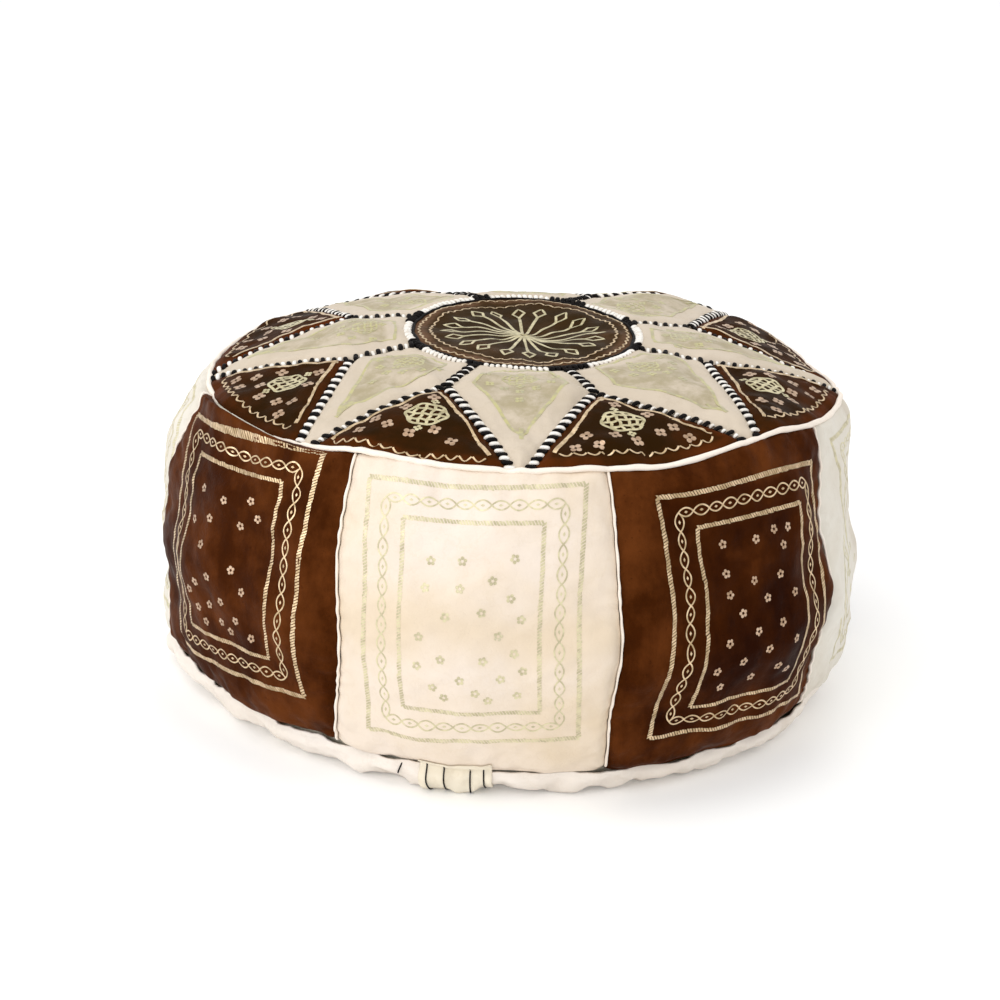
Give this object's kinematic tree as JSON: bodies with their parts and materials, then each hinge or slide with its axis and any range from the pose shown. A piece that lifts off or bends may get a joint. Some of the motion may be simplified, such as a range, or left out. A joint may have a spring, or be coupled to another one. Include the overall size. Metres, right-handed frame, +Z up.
{
  "type": "leather pouf",
  "caption": "Round stuffed leather floor pouf with a patchwork star crown, laced seams and alternating brown and cream side panels stamped with gold.",
  "frame": {"origin": "centre of the base, on the floor", "axes": "+Z up through the centre of the crown; -Y towards the front, where a cream side panel and the closed stuffing slit are; +X to the right as seen from the front"},
  "size_m": [0.53, 0.53, 0.2646],
  "materials": {
    "brown_leather": "waxed brown goatskin, semi-gloss, gold stamped",
    "cream_leather": "undyed cream goatskin, satin, worn gold stamping",
    "piping_leather": "thin pinkish cream leather cord",
    "base_leather": "plain off-white leather, satin",
    "flap_leather": "plain yellowish leather offcut",
    "lacing": "black and white leather lace, laid alternately",
    "black_thread": "waxed black thread",
    "lining_cloth": "unbleached cotton",
    "stuffing": "loose cotton batting"
  },
  "bodies": {
    "root": {"base_panel": "base_leather", "closure_flap": "flap_leather", "closure_stitches": "black_thread", "lining_base": "lining_cloth", "lining_side": "lining_cloth", "lining_top": "lining_cloth", "medallion": "brown_leather", "medallion_lacing": "lacing", "petal_1": "cream_leather", "petal_2": "cream_leather", "petal_3": "cream_leather", "petal_4": "cream_leather", "petal_5": "cream_leather", "petal_6": "cream_leather", "petal_7": "cream_leather", "petal_8": "cream_leather", "petal_lacing_1": "lacing", "petal_lacing_2": "lacing", "petal_lacing_3": "lacing", "petal_lacing_4": "lacing", "petal_lacing_5": "lacing", "petal_lacing_6": "lacing", "petal_lacing_7": "lacing", "petal_lacing_8": "lacing", "side_brown_1": "brown_leather", "side_brown_2": "brown_leather", "side_brown_3": "brown_leather", "side_brown_4": "brown_leather", "side_cream_1": "cream_leather", "side_cream_2": "cream_leather", "side_cream_3": "cream_leather", "side_cream_4": "cream_leather", "side_welt_1": "piping_leather", "side_welt_2": "piping_leather", "side_welt_3": "piping_leather", "side_welt_4": "piping_leather", "side_welt_5": "piping_leather", "side_welt_6": "piping_leather", "side_welt_7": "piping_leather", "side_welt_8": "piping_leather", "spoke_lacing": "lacing", "stuffing": "stuffing", "top_piping": "piping_leather", "triangle_1": "brown_leather", "triangle_2": "brown_leather", "triangle_3": "brown_leather", "triangle_4": "brown_leather", "triangle_5": "brown_leather", "triangle_6": "brown_leather", "triangle_7": "brown_leather", "triangle_8": "brown_leather"}
  },
  "joints": []
}
